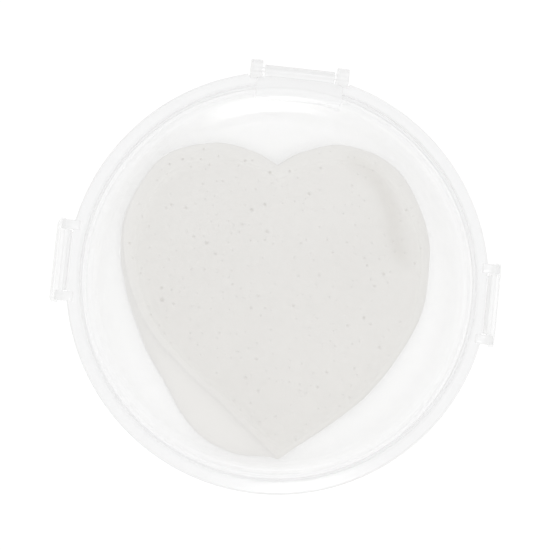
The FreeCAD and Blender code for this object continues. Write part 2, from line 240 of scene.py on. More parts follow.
def bake_modifiers(obj):
    """Keep what the modifiers make as the object's own mesh."""
    bpy.context.view_layer.update()
    graph = bpy.context.evaluated_depsgraph_get()
    made = bpy.data.meshes.new_from_object(obj.evaluated_get(graph))
    obj.modifiers.clear()
    obj.data = made


def block(outline, along, low, high, soft=0.0):
    """A solid of one outline, run from low to high along an axis; soft rounds its end edges."""
    place = {
        "X": lambda u, v, w: (w, u, v),
        "Y": lambda u, v, w: (u, w, v),
        "Z": lambda u, v, w: (u, v, w),
    }[along]
    count = len(outline)
    vertices = [place(p[0], p[1], w) for w in (low, high) for p in outline]
    faces = [(i, (i + 1) % count, count + (i + 1) % count, count + i) for i in range(count)]
    faces += [tuple(range(count)), tuple(range(count, 2 * count))]
    obj = new_object("block", vertices, faces)
    tidy_normals(obj)
    if soft:
        bevel = obj.modifiers.new("soft edges", "BEVEL")
        bevel.width = soft * MM
        bevel.segments = 2
        bevel.limit_method = "ANGLE"
        bevel.angle_limit = math.radians(50)
        bake_modifiers(obj)
    return obj


def circle_outline(across, up, radius, count=40):
    return [
        Vector((across + radius * math.cos(a), up + radius * math.sin(a)))
        for a in np.linspace(0, 2 * math.pi, count, endpoint=False)
    ]


def mirror_across(outline, sign):
    return [Vector((sign * p[0], p[1])) for p in outline]


def arc_outline(across, up, radius, first, last, count):
    """Points on an arc, its angles in degrees from straight up, turning towards larger X."""
    return [
        (across + radius * math.sin(a), up + radius * math.cos(a), 0)
        for a in np.linspace(math.radians(first), math.radians(last), count)
    ]


def span(sign, near, far):
    """The two ends of a stretch on one side of the middle, lower one first."""
    return sorted((sign * near, sign * far))


def shape_with(obj, tools, finish):
    """Join to or cut from a solid, in order; each tool is an operation and a block that is used up.
    The whole piece then wears one finish."""
    for operation, tool in tools:
        change = obj.modifiers.new("shape", "BOOLEAN")
        change.operation = operation
        change.solver = "EXACT"
        change.object = tool
        bake_modifiers(obj)
        bpy.data.objects.remove(tool)
    obj.data.materials.clear()
    obj.data.materials.append(finish)
    obj.data.polygons.foreach_set("material_index", np.zeros(len(obj.data.polygons), np.int32))


def smooth_by_angle(obj, degrees=32):
    obj.data.shade_smooth()
    obj.data.set_sharp_from_angle(angle=math.radians(degrees))


# ---------------------------------------------------------------- turned shells, by Geometry Nodes


def turning_tree():
    """A node tree that turns a half section (radius on X, height on Z) about the Z axis."""
    tree = bpy.data.node_groups.new("turned shell", "GeometryNodeTree")
    add_socket = tree.interface.new_socket
    add_socket("Half Section", in_out="INPUT", socket_type="NodeSocketGeometry")
    add_socket("Steps Around", in_out="INPUT", socket_type="NodeSocketInt")
    add_socket("Section Points", in_out="INPUT", socket_type="NodeSocketInt")
    add_socket("Finish", in_out="INPUT", socket_type="NodeSocketMaterial")
    add_socket("Shell", in_out="OUTPUT", socket_type="NodeSocketGeometry")
    nodes, link = tree.nodes, tree.links.new

    def add(kind, **settings):
        node = nodes.new(kind)
        for name, setting in settings.items():
            setattr(node, name, setting)
        return node

    def maths(operation, first, second=None):
        node = add("ShaderNodeMath", operation=operation)
        for socket, given in zip(node.inputs, (first, second)):
            if isinstance(given, (int, float)):
                socket.default_value = given
            elif given is not None:
                link(given, socket)
        return node.outputs[0]

    given = add("NodeGroupInput")
    grid = add("GeometryNodeMeshGrid")
    grid.inputs["Size X"].default_value = 1.0
    grid.inputs["Size Y"].default_value = 1.0
    link(maths("ADD", given.outputs["Steps Around"], 1), grid.inputs["Vertices X"])
    link(given.outputs["Section Points"], grid.inputs["Vertices Y"])
    spot = add("ShaderNodeSeparateXYZ")
    link(add("GeometryNodeInputPosition").outputs[0], spot.inputs[0])
    turn = maths("MULTIPLY", maths("ADD", spot.outputs["X"], 0.5), 2 * math.pi)
    last = maths("SUBTRACT", given.outputs["Section Points"], 1)
    row = maths("ROUND", maths("MULTIPLY", maths("ADD", spot.outputs["Y"], 0.5), last))
    sample = add("GeometryNodeSampleIndex", data_type="FLOAT_VECTOR", domain="POINT")
    link(given.outputs["Half Section"], sample.inputs["Geometry"])
    link(add("GeometryNodeInputPosition").outputs[0], sample.inputs["Value"])
    link(row, sample.inputs["Index"])
    section = add("ShaderNodeSeparateXYZ")
    link(sample.outputs[0], section.inputs[0])
    radius, height = section.outputs["X"], section.outputs["Z"]
    joined = add("ShaderNodeCombineXYZ")
    link(maths("MULTIPLY", radius, maths("COSINE", turn)), joined.inputs["X"])
    link(maths("MULTIPLY", radius, maths("SINE", turn)), joined.inputs["Y"])
    link(height, joined.inputs["Z"])
    moved = add("GeometryNodeSetPosition")
    link(grid.outputs["Mesh"], moved.inputs["Geometry"])
    link(joined.outputs[0], moved.inputs["Position"])
    merged = add("GeometryNodeMergeByDistance")
    merged.inputs["Distance"].default_value = 1e-6
    link(moved.outputs[0], merged.inputs["Geometry"])
    real = add("GeometryNodeRealizeInstances")
    link(merged.outputs[0], real.inputs[0])
    painted = add("GeometryNodeSetMaterial")
    link(real.outputs[0], painted.inputs["Geometry"])
    link(given.outputs["Finish"], painted.inputs["Material"])
    link(painted.outputs[0], add("NodeGroupOutput").inputs["Shell"])
    return tree


def turned(name, tree, corners, finish, closed=False, steps=6):
    """A solid of revolution; a closed section makes a ring, an open one starts and ends on the axis."""
    section = rounded(corners, closed=closed, steps=steps)
    if closed:
        section.append(section[0])
    obj = new_object(name, [(p[0], 0, p[1]) for p in section], [])
    turning = obj.modifiers.new("turning", "NODES")
    turning.node_group = tree
    sizes = {"Steps Around": STEPS_AROUND, "Section Points": len(section), "Finish": finish}
    for item in tree.interface.items_tree:
        if item.name in sizes:
            turning[item.identifier] = sizes[item.name]
    bake_modifiers(obj)
    tidy_normals(obj)
    return obj


# ---------------------------------------------------------------- materials


class Signal:
    """One output of a material's nodes. Python's operators on it add Math nodes."""

    def __init__(self, finish, socket):
        self.finish = finish
        self.socket = socket

    def maths(self, operation, *inputs):
        node = self.finish.tree.nodes.new("ShaderNodeMath")
        node.operation = operation
        for socket, given in zip(node.inputs, inputs):
            self.finish.feed(socket, given)
        return Signal(self.finish, node.outputs[0])

    def __add__(self, other):
        return self.maths("ADD", self, other)

    def __sub__(self, other):
        return self.maths("SUBTRACT", self, other)

    def __rsub__(self, other):
        return self.maths("SUBTRACT", other, self)

    def __mul__(self, other):
        return self.maths("MULTIPLY", self, other)

    def __pow__(self, other):
        return self.maths("POWER", self, other)

    def __abs__(self):
        return self.maths("ABSOLUTE", self)

    __radd__ = __add__
    __rmul__ = __mul__

    def smooth(self, low, high):
        """0 below low, 1 above high, and a soft step between."""
        return self.finish.node(
            "ShaderNodeMapRange", {"interpolation_type": "SMOOTHSTEP"},
            {"Value": self, "From Min": low, "From Max": high})


class Finish:
    """A material whose Principled shader takes constants on its own sockets and signals by link."""

    def __init__(self, name, **constants):
        self.material = bpy.data.materials.new(name)
        self.material.use_nodes = True
        self.tree = self.material.node_tree
        self.shader = self.tree.nodes["Principled BSDF"]
        for socket, given in constants.items():
            self.shader.inputs[socket.replace("_", " ")].default_value = given

    def feed(self, socket, given):
        if isinstance(given, Signal):
            self.tree.links.new(given.socket, socket)
        else:
            socket.default_value = given

    def node(self, kind, settings=None, inputs=None, output=0):
        """Any node: its settings first, then the values or links of its inputs."""
        made = self.tree.nodes.new(kind)
        for name, setting in (settings or {}).items():
            setattr(made, name, setting)
        for name, given in (inputs or {}).items():
            self.feed(made.inputs[name], given)
        return Signal(self, made.outputs[output])

    def place(self):
        return self.node("ShaderNodeTexCoord", output="Object")

    def attribute(self, name):
        return self.node("ShaderNodeAttribute", {"attribute_name": name}, output="Fac")

    def along(self, axis):
        """One object coordinate, in metres."""
        return self.node("ShaderNodeSeparateXYZ", inputs={"Vector": self.place()}, output=axis)

    def radius(self):
        """The distance from the case's round axis, in metres."""
        across, along = self.along("X"), self.along("Y")
        return (across * across + along * along) ** 0.5

    def noise(self, scale, detail=3.0, stretch=(1, 1, 1)):
        """A noise field in object space; scale is in features per metre."""
        laid = self.node("ShaderNodeMapping", inputs={"Vector": self.place(), "Scale": stretch})
        return self.node("ShaderNodeTexNoise", inputs={"Vector": laid, "Scale": scale, "Detail": detail})

    def mix(self, factor, first, second):
        made = self.tree.nodes.new("ShaderNodeMix")
        made.data_type = "RGBA"
        self.feed(made.inputs["Factor"], factor)
        for name, colour in (("A", first), ("B", second)):
            socket = next(s for s in made.inputs if s.name == name and s.type == "RGBA")
            self.feed(socket, colour if isinstance(colour, Signal) else (*colour, 1.0))
        return Signal(self, next(s for s in made.outputs if s.type == "RGBA"))

    def bump(self, height, distance, strength=1.0):
        return self.node("ShaderNodeBump", inputs={
            "Height": height, "Distance": distance, "Strength": strength})

    def wear(self, **signals):
        for socket, signal in signals.items():
            self.feed(self.shader.inputs[socket.replace("_", " ")], signal)
        return self.material


def natural_plastic(name, clear, haze, jut_tone=0.74, has_land=False):
    """Uncoloured polypropylene: milky and waxy, with faint flow marks and hair scratches. It looks denser
    towards the rim and in the lid's thick land by the hinge; what juts out past the rim has a tone of its
    own, and upright walls carry painted light that makes them paler, since they catch less light than the
    tops."""
    milky, milky_pale = (0.760, 0.759, 0.762), (0.776, 0.775, 0.777)
    # The wall tone is painted light: upright walls are lightened towards it because they catch less light
    # than the tops.
    dense, wall = (0.757, 0.757, 0.759), (0.900, 0.901, 0.903)
    rim_metres, fade = RIM * MM, 0.4 * MM
    land_back, land_half = LAND_IN * MM - fade, LAND_HALF * MM - fade
    finish = Finish(name, IOR=1.49, Specular_IOR_Level=0.5)
    across, along = finish.along("X"), finish.along("Y")
    radius = finish.radius()
    rim = radius.smooth(0.90 * rim_metres, 0.96 * rim_metres)
    if has_land:
        land = along.smooth(land_back, land_back + fade)
        land = land * (1 - abs(across).smooth(land_half, land_half + fade))
        rim = 1 - (1 - rim) * (1 - land)
    juts = radius.smooth(rim_metres, 1.015 * rim_metres)
    normal = finish.node("ShaderNodeTexCoord", output="Normal")
    level = abs(finish.node("ShaderNodeSeparateXYZ", inputs={"Vector": normal}, output="Z"))
    upright = 1 - level.smooth(0.15, 0.95)
    flow = finish.noise(38, 4, (1, 1, 0.35))
    cloud = finish.noise(140, 2)
    scratches = (finish.noise(260, 4, (1, 9, 1)) + finish.noise(240, 4, (8, 1, 1)) * 0.8).smooth(1.0, 1.3)
    tone = finish.mix(flow.smooth(0.35, 0.7), milky, milky_pale)
    tone = finish.mix(rim, tone, dense)
    tone = finish.mix(juts, tone, (jut_tone, jut_tone, jut_tone))
    # painted light on upright walls
    tone = finish.mix(upright * 0.3, tone, wall)
    return finish.wear(
        Base_Color=tone,
        Roughness=0.08 + cloud * 0.04 + scratches * 0.07,
        Alpha=(clear + rim * haze + (flow - 0.5) * 0.04 + (cloud - 0.5) * 0.02) * (1 - upright * 0.2),
        Normal=finish.bump(flow * 0.6 + cloud * 0.12 - scratches * 0.08, 0.0001, 0.3),
    )


def silicone(name):
    """Soft clear silicone with a dusty bloom."""
    finish = Finish(name, IOR=1.41, Specular_IOR_Level=0.3)
    dust = finish.noise(900, 3).smooth(0.5, 0.75)
    bloom = finish.noise(120, 2)
    return finish.wear(
        Base_Color=finish.mix(dust, (0.66, 0.662, 0.663), (0.68, 0.68, 0.681)),
        Roughness=0.45 + bloom * 0.2,
        Alpha=0.30 + bloom * 0.1,
        Normal=finish.bump(bloom + dust * 0.2, 0.00005, 0.3),
    )


def foam(name):
    """Fine-celled off-white sponge: pitted all over and a little deeper in tone towards the front.
    Painted shade darkens its pits, its pores and its crease; it is also darker where it is wet under the
    film, and painted light makes the top's edge and the sides paler."""
    plain, plain_pale, front_tone = (0.572, 0.556, 0.521), (0.585, 0.569, 0.536), (0.527, 0.503, 0.461)
    # The pits' tone below is painted shade for the small cell pits; the deep tone is painted shade inside
    # the pores.
    grain_tone, pit_shade = (0.609, 0.595, 0.560), (0.456, 0.432, 0.385)
    # The last, palest tone is painted light for the top's edge and the sides.
    # The wet tone is the sponge's colour where it is wet under the film, and also painted shade along the
    # crease.
    wet, deep, painted_light = (0.442, 0.418, 0.371), (0.461, 0.437, 0.385), (0.760, 0.743, 0.712)
    finish = Finish(name, Specular_IOR_Level=0.12)
    pore, crease_shade_and_wet, painted_light_mask = (finish.attribute(each) for each in ("pore", "crease_shade_and_wet", "painted_light_mask"))
    patch = finish.noise(45, 3)
    grain = finish.noise(1300, 3)
    cells = finish.node("ShaderNodeTexVoronoi", {"feature": "F1"}, {
        "Vector": finish.place(), "Scale": 1500.0})
    pits = 1 - cells.smooth(0.05, 0.32)
    tone = finish.mix(patch.smooth(0.3, 0.7), plain, plain_pale)
    back = finish.along("Y").smooth(-0.04, 0.02)
    tone = finish.mix(back, finish.mix(0.8, tone, front_tone), tone)
    tone = finish.mix(grain.smooth(0.35, 0.65) * 0.3, tone, grain_tone)
    # painted shade in the small cell pits
    tone = finish.mix(pits * 0.2, tone, pit_shade)
    # darker where wet under the film; along the crease this is painted shade
    tone = finish.mix(crease_shade_and_wet, tone, wet)
    # painted shade inside the pores
    tone = finish.mix(pore, tone, deep)
    # painted light: the top's edge and the sides made paler
    tone = finish.mix(painted_light_mask, tone, painted_light)
    return finish.wear(
        Base_Color=tone,
        Roughness=0.88 - crease_shade_and_wet * 0.2,
        Normal=finish.bump(grain * 0.5 - pits * 0.6 + patch, 0.00014, 0.45),
    )


def membrane(name):
    """Wet parchment-like film: thin, slightly cloudy, with a satin sheen."""
    finish = Finish(name, IOR=1.45, Specular_IOR_Level=0.5)
    between, fibres, wet = (0.490, 0.472, 0.437), (0.555, 0.537, 0.500), (0.442, 0.418, 0.371)
    crease_shade_and_wet, inner = finish.attribute("crease_shade_and_wet"), finish.attribute("inner")
    fibre = finish.noise(600, 5)
    cloud = finish.noise(70, 3)
    tone = finish.mix(fibre.smooth(0.4, 0.7), between, fibres)
    # painted shade along the crease
    tone = finish.mix(crease_shade_and_wet, tone, wet)
    return finish.wear(
        Base_Color=tone,
        Roughness=0.36 + cloud * 0.15,
        Alpha=inner * 0.12 + fibre.smooth(0.4, 0.75) * 0.04 + (cloud - 0.5) * 0.06 + crease_shade_and_wet * 0.08 + 0.05,
        Normal=finish.bump(fibre * 0.3 + cloud, 0.00012, 0.3),
    )


def studio_white(name):
    """Matt paper, whiter away from the middle, where less light falls on it."""
    finish = Finish(name, Specular_IOR_Level=0.1)
    grain = finish.noise(60, 3)
    far = finish.radius().smooth(0.35, 1.6)
    tone = finish.mix(grain, (0.86, 0.86, 0.86), (0.88, 0.88, 0.88))
    return finish.wear(
        Base_Color=finish.mix(far, tone, (0.98, 0.98, 0.98)),
        Roughness=0.85 + grain * 0.1,
    )


# ---------------------------------------------------------------- the case


def make_tray(tree, finish):
    """The lower shell: recessed foot, drafted wall, flange with a bead for the seal, a lip that locates
    the lid, two hinge ears and a ledge for each clip."""
    bead_top = FLANGE_TOP + BEAD_HIGH
    tray = turned("base_tray_shell", tree, [
        (0, 0, 0),
        (FOOT_DISC, 0, 0.2),
        (FOOT_DISC, FOOT_RECESS, 0.15),
        (FOOT_RING, FOOT_RECESS, 0.15),
        (FOOT_RING, 0, 0.2),
        (WALL_OUT_LOW, 0, FOOT_BEND),
        (WALL_OUT_HIGH, FLANGE_UNDER, 0.5),
        (RIM, FLANGE_UNDER, EDGE_SOFT),
        (RIM, FLANGE_TOP, EDGE_SOFT),
        (BEAD_OUT, FLANGE_TOP, 0.08),
        (BEAD_OUT - BEAD_SLOPE, bead_top, 0.08),
        (BEAD_IN + BEAD_SLOPE, bead_top, 0.08),
        (BEAD_IN, FLANGE_TOP, 0.08),
        (LIP_OUT, FLANGE_TOP, 0.15),
        (LIP_OUT, LIP_TOP, 0.35),
        (WALL_IN_HIGH, LIP_TOP, 0.35),
        (WALL_IN_LOW, FLOOR_TOP, FLOOR_BEND),
        (0, FLOOR_TOP, 0),
    ], finish, steps=10)
    half, back = KNUCKLE_ROOM_HALF, KNUCKLE_ROOM_BACK
    room = rounded([(-half, back, 0.3), (half, back, 0.3), (half, PAST, 0), (-half, PAST, 0)])
    tools = [("DIFFERENCE", block(room, "Z", *KNUCKLE_ROOM_CUT))]
    front_top = FLANGE_TOP - 0.4
    ear = rounded([
        (EAR_ROOT, EAR_FOOT, 0), (EAR_ROOT, front_top, 0), (HINGE.y - EAR_RADIUS, front_top, 0.2),
        *arc_outline(HINGE.y, HINGE.z, EAR_RADIUS, -90, 90, 19),
        (HINGE.y + EAR_RADIUS, FLANGE_UNDER, 1.0)])
    ledge = rounded([
        (LEDGE_ROOT, LEDGE_LOW, 0), (LEDGE_OUT, LEDGE_LOW, 0.3), (LEDGE_OUT, LEDGE_TOP, 0.6),
        (LEDGE_ROOT, LEDGE_TOP, 0)])
    for sign in (-1, 1):
        tools.append(("UNION", block(ear, "X", *span(sign, EAR_START, EAR_END), soft=0.18)))
        tools.append(("UNION", block(
            mirror_across(ledge, sign), "Y", -LEDGE_HALF, LEDGE_HALF, soft=0.2)))
    bore = circle_outline(HINGE.y, HINGE.z, EAR_BORE)
    tools.append(("DIFFERENCE", block(bore, "X", -HINGE_BORE_END, HINGE_BORE_END)))
    shape_with(tray, tools, finish)
    return tray


def make_lid(tree, finish):
    """The upper shell: a lowered clear panel inside a rounded crown, wall, flange with the seal's
    groove, the hinge knuckle with its thick land, and two lugs for each clip's pin."""
    panel = CROWN - PANEL_DROP
    lid = turned("lid_dome", tree, [
        (0, panel - LID_THICK, 0),
        (LID_WALL_IN, panel - LID_THICK, 1.7),
        (LID_WALL_IN, LID_UNDER, 0.2),
        (GROOVE_IN, LID_UNDER, 0.1),
        (GROOVE_IN, LID_UNDER + GROOVE_DEEP, 0.15),
        (GROOVE_OUT, LID_UNDER + GROOVE_DEEP, 0.15),
        (GROOVE_OUT, LID_UNDER, 0.1),
        (RIM, LID_UNDER, EDGE_SOFT),
        (RIM, LID_FLANGE_TOP, EDGE_SOFT),
        (LID_WALL_OUT, LID_FLANGE_TOP, 0.5),
        (LID_WALL_OUT, CROWN, 2.6),
        (CROWN_EDGE, CROWN, 2.5),
        (PANEL_EDGE, panel, 9.0),
        (0, panel, 0),
    ], finish, steps=10)
    land = rounded([
        (-LAND_HALF, LAND_IN_SIDE, 0.3), (-LAND_BEND, LAND_IN, 8.0), (LAND_BEND, LAND_IN, 8.0),
        (LAND_HALF, LAND_IN_SIDE, 0.3), (LAND_HALF, LAND_OUT_SIDE, 0.6), (LAND_FLAT, LAND_OUT, 1.0),
        (-LAND_FLAT, LAND_OUT, 1.0), (-LAND_HALF, LAND_OUT_SIDE, 0.6)])
    tools = [("UNION", block(land, "Z", LAND_LOW, LAND_HIGH, soft=0.25))]
    ear_room = rounded([
        (EAR_ROOM_START, EAR_ROOM_BACK, 0), (EAR_ROOM_END, EAR_ROOM_BACK, 0.3),
        (EAR_ROOM_END, PAST, 0), (EAR_ROOM_START, PAST, 0)])
    seat = rounded([
        (SEAT_IN, -SEAT_HALF, 0), (PAST, -SEAT_HALF, 0), (PAST, SEAT_HALF, 0), (SEAT_IN, SEAT_HALF, 0)])
    for sign in (-1, 1):
        for cut in (ear_room, seat):
            tools.append(("DIFFERENCE", block(mirror_across(cut, sign), "Z", *FLANGE_CUT)))
    nose = arc_outline(HINGE.y, HINGE.z, KNUCKLE_RADIUS, 60, 270, 17)
    knuckle = rounded([
        (KNUCKLE_ROOT, LID_UNDER, 0), (KNUCKLE_ROOT, LID_FLANGE_TOP, 0),
        (HINGE.y - 0.2, LID_FLANGE_TOP, 0.8), *nose])
    tools.append(("UNION", block(knuckle, "X", -KNUCKLE_HALF, KNUCKLE_HALF, soft=0.15)))
    bore = circle_outline(HINGE.y, HINGE.z, KNUCKLE_BORE)
    tools.append(("DIFFERENCE", block(bore, "X", -HINGE_BORE_END, HINGE_BORE_END)))
    lug = rounded([
        (LUG_ROOT, CLIP.z - LUG_RADIUS, 0), (LUG_ROOT, CLIP.z + LUG_RADIUS, 0.4),
        *arc_outline(CLIP.x, CLIP.z, LUG_RADIUS, 0, 180, 17)])
    for sign in (-1, 1):
        for way in (-1, 1):
            tools.append(("UNION", block(
                mirror_across(lug, sign), "Y", *span(way, LUG_START, LUG_END), soft=0.15)))
        bore = circle_outline(sign * CLIP.x, CLIP.z, LUG_BORE, 24)
        tools.append(("DIFFERENCE", block(bore, "Y", -CLIP_BORE_END, CLIP_BORE_END)))
    shape_with(lid, tools, finish)
    return lid


def make_seal(tree, finish):
    """A soft ring of square section with a channel for the tray's bead."""
    low, high = SEAL_LOW.z, SEAL_HIGH.z
    outer = SEAL_HIGH.x
    inner = outer - SEAL_WIDTH
    middle = (inner + outer) / 2
    channel = SEAL_CHANNEL
    return turned("seal_ring_soft", tree, [
        (inner, low, 0.15),
        (inner, high, 0.3),
        (outer, high, 0.3),
        (outer, low, 0.15),
        (middle + channel, low, 0.08),
        (middle + channel, low + channel, 0.1),
        (middle - channel, low + channel, 0.1),
        (middle - channel, low, 0.08),
    ], finish, closed=True, steps=4)


def make_clip(side, sign, finish):
    """The flap in its closed place: plate with a flared end and rounded corners, hub, hook and grip
    ribs; then turned about its pin to where it rests."""
    plate = rounded([
        (FLAP_IN, FLAP_TOP, 0.45), (FLAP_OUT, FLAP_TOP, 0.45), (FLAP_OUT, FLAP_BEND, 3.0),
        (FLAP_OUT + FLAP_FLARE, FLAP_FOOT, 0.4), (FLAP_IN + FLAP_FLARE, FLAP_FOOT, 0.4),
        (FLAP_IN, FLAP_BEND, 3.0)])
    clip = block(mirror_across(plate, sign), "Y", -FLAP_HALF, FLAP_HALF)
    clip.name = f"latch_{side}_flap"
    shoulder = [
        (SHOULDER_IN, SHOULDER_LOW), (SHOULDER_OUT, SHOULDER_LOW), (SHOULDER_OUT, SHOULDER_HIGH),
        (SHOULDER_IN, SHOULDER_HIGH)]
    bend_at, bend_up = FLAP_HALF - FLAP_CORNER, FLAP_FOOT + FLAP_CORNER
    corner = [
        *arc_outline(bend_at, bend_up, FLAP_CORNER, 180, 90, 9),
        (CORNER_END, bend_up), (CORNER_END, CORNER_FOOT), (bend_at, CORNER_FOOT)]
    tools = []
    for way in (-1, 1):
        tools.append(("DIFFERENCE", block(
            mirror_across(shoulder, sign), "Y", *span(way, HUB_HALF, SHOULDER_END))))
        tools.append(("DIFFERENCE", block(mirror_across(corner, way), "X", *span(sign, *CORNER_CUT))))
    hub = circle_outline(sign * CLIP.x, CLIP.z, HUB_RADIUS)
    tools.append(("UNION", block(hub, "Y", -HUB_HALF, HUB_HALF, soft=0.12)))
    hook_root = FLAP_IN + ROOTED
    hook = rounded([
        (hook_root, HOOK_TOP, 0), (HOOK_IN, HOOK_TOP, 0.12), (HOOK_IN, HOOK_TIP, 0.12),
        (hook_root, HOOK_FOOT, 0)])
    tools.append(("UNION", block(mirror_across(hook, sign), "Y", -HOOK_HALF, HOOK_HALF, soft=0.1)))
    rib_root, rib_tip = FLAP_OUT - ROOTED, FLAP_OUT + RIB_PROUD
    for number in range(RIBS):
        middle = RIB_LOW + RIB_PITCH * number
        rib = rounded([
            (rib_root, middle - RIB_ROOT_HALF, 0), (rib_tip, middle - RIB_TIP_HALF, 0.1),
            (rib_tip, middle + RIB_TIP_HALF, 0.1), (rib_root, middle + RIB_ROOT_HALF, 0)])
        tools.append(("UNION", block(mirror_across(rib, sign), "Y", -RIB_HALF, RIB_HALF, soft=0.1)))
    bore = circle_outline(sign * CLIP.x, CLIP.z, HUB_BORE, 24)
    tools.append(("DIFFERENCE", block(bore, "Y", -CLIP_BORE_END, CLIP_BORE_END)))
    shape_with(clip, tools, finish)
    pivot = Vector((sign * CLIP.x, CLIP.y, CLIP.z)) * MM
    turn = Matrix.Rotation(-sign * CLIP_REST_TURN, 4, "Y")
    clip.data.transform(Matrix.Translation(pivot) @ turn @ Matrix.Translation(-pivot))
    return clip


# ---------------------------------------------------------------- sponge and membrane


# The heart's outline, clockwise from the notch; its foot stands out at the lower left.
HEART_TURN = math.radians(5.4)
SWELL = (1.013, 1.022)
NOTCH = (0.0, 25.0)
TIP = (0.6, -37.0)
RIGHT_SIDE = [(5.6, 28.0), (14.7, 29.4), (25.0, 25.0), (31.2, 14.7), (32.6, 4.5), (29.9, -8.6),
              (19.0, -23.7)]
LEFT_SIDE_FOOT = [(-9.0, -36.4), (-17.5, -31.6), (-24.0, -21.2), (-29.4, -10.6), (-33.1, 3.0),
                  (-32.4, 14.7), (-25.0, 26.6), (-14.0, 30.0), (-5.4, 28.2)]
LEFT_SIDE_TOP = [(-5.6, -31.2), (-12.4, -24.6), (-19.6, -18.2), (-27.6, -9.0), (-32.2, 3.0),
                 (-32.0, 14.7), (-24.8, 26.2), (-14.0, 29.6), (-5.4, 27.9)]
CREASE = [(15.6, 28.0), (20.6, 23.6), (24.0, 17.2), (25.6, 10.0), (27.2, 3.6)]
CREASE_FOOT, CREASE_HEAD = 2.0, 30.0    # along Y, where it has faded out
CREASE_DEEP = 0.55
EDGE_ROLL = 4.6
EDGE_DROP = 2.3
TOP_WAVE = 0.14
SKIN_PITCH = 0.75
SKIN_RINGS = (0.18, 0.42, 0.75, 1.15, 1.6, 2.2, 2.9)
PORES = 340
PORE_TRIES = 3200
PORE_RADII = [0.16, 0.21, 0.28, 0.36, 0.48]
PORE_SHARES = [0.50, 0.29, 0.14, 0.06, 0.01]
PORE_FROM_EDGE = 1.2
PORE_APART = 0.4
PORE_SPOKES = 12
PORE_DEEP = 1.2                 # times its radius
FILM_SCALE = 0.93
FILM_SHIFT = (0.3, -1.2)
FILM_PITCH = 0.7
FILM_RINGS = (0.4, 0.9)
FILM_THICK = 0.06
FILM_ABOVE_SPONGE = 0.11
# How far down the sponge's side each row of points lies, and how far it bulges out.
SIDE_ROWS = ((0.06, 0.10), (0.16, 0.22), (0.32, 0.34), (0.52, 0.36), (0.72, 0.28), (0.86, 0.12),
             (0.95, -0.15), (1.0, -0.7))


def curve_through(points, count):
    """Evenly spaced points on a smooth curve through the given ones."""
    given = np.array(points, float)
    chords = np.r_[0, np.cumsum(np.linalg.norm(np.diff(given, axis=0), axis=1) ** 0.5)]
    padded = np.vstack([2 * given[0] - given[1], given, 2 * given[-1] - given[-2]])
    fine = []
    for index in range(len(given) - 1):
        p0, p1, p2, p3 = padded[index:index + 4]
        for t in np.linspace(0, 1, 24, endpoint=False):
            fine.append(0.5 * (2 * p1 + (p2 - p0) * t + (2 * p0 - 5 * p1 + 4 * p2 - p3) * t ** 2
                               + (3 * p1 - p0 - 3 * p2 + p3) * t ** 3))
    fine.append(given[-1])
    fine = np.array(fine)
    run = np.r_[0, np.cumsum(np.linalg.norm(np.diff(fine, axis=0), axis=1))]
    even = np.linspace(0, run[-1], count)
    return np.column_stack([np.interp(even, run, fine[:, axis]) for axis in (0, 1)])


def heart(left_side, right_count=150, left_count=170):
    """The heart as a closed loop, anticlockwise: tip, right side, notch, left side. Wet, it swells a
    little past the size it was cut to."""
    right = curve_through([TIP, *RIGHT_SIDE[::-1], NOTCH], right_count)
    left = curve_through([NOTCH, *left_side[::-1], TIP], left_count)
    return np.vstack([right[:-1], left[:-1]]) * SWELL


def closed(loop):
    """A loop with its first point again at the end."""
    return np.vstack([loop, loop[:1]])


def outward_of(loop):
    """The unit direction out of an anticlockwise loop at each of its points."""
    tangent = np.roll(loop, -1, axis=0) - np.roll(loop, 1, axis=0)
    outward = np.column_stack([tangent[:, 1], -tangent[:, 0]])
    return outward / (np.linalg.norm(outward, axis=1)[:, None] + 1e-9)


def gap_to(points, line):
    """The distance from each point to a line of straight runs, in the line's units."""
    start, run = line[:-1], np.diff(line, axis=0)
    nearest = np.full(len(points), 1e9)
    length2 = (run ** 2).sum(1) + 1e-12
    for first in range(0, len(points), 2000):
        part = points[first:first + 2000, None, :] - start[None]
        t = np.clip((part * run[None]).sum(2) / length2, 0, 1)
        off = part - t[..., None] * run[None]
        nearest[first:first + 2000] = np.sqrt((off ** 2).sum(2)).min(1)
    return nearest


def inside(points, loop):
    """Whether each point lies inside a closed loop."""
    following = np.roll(loop, -1, axis=0)
    result = np.zeros(len(points), bool)
    for (x0, y0), (x1, y1) in zip(loop, following):
        crosses = (y0 > points[:, 1]) != (y1 > points[:, 1])
        at = x0 + (points[:, 1] - y0) * (x1 - x0) / (y1 - y0 + 1e-12)
        result ^= crosses & (points[:, 0] < at)
    return result


def waves(points, size, count, generator):
    """A gentle random swell of about the given wavelength, between -1 and 1."""
    total = np.zeros(len(points))
    for _ in range(count):
        way = generator.uniform(0, 2 * math.pi)
        pitch = size * generator.uniform(0.7, 1.5)
        phase = generator.uniform(0, 2 * math.pi)
        total += np.sin((points @ [math.cos(way), math.sin(way)]) * 2 * math.pi / pitch + phase)
    return total / count ** 0.5 / 1.4


def crease_mask(points, width):
    """1 along the crease's middle, falling to 0 over about the given width and at both ends."""
    line = curve_through(CREASE, 40)
    off = gap_to(points, line)
    foot = np.clip((points[:, 1] - CREASE_FOOT) / 5, 0, 1)
    head = np.clip((CREASE_HEAD - points[:, 1]) / 4, 0, 1)
    return np.exp(-(off / width) ** 2) * foot * head


def top_swell(points, edge):
    """How far the sponge's top lies below its highest level, in millimetres: it rolls off towards
    its edge, swells a little and has one soft crease across the right lobe."""
    generator = np.random.default_rng(SEED)
    roll = np.clip(1 - edge / EDGE_ROLL, 0, 1)
    drop = EDGE_DROP * roll ** 2.6
    drop += TOP_WAVE * (1 + waves(points, 17, 7, generator))
    drop += CREASE_DEEP * crease_mask(points, 1.7)
    return drop


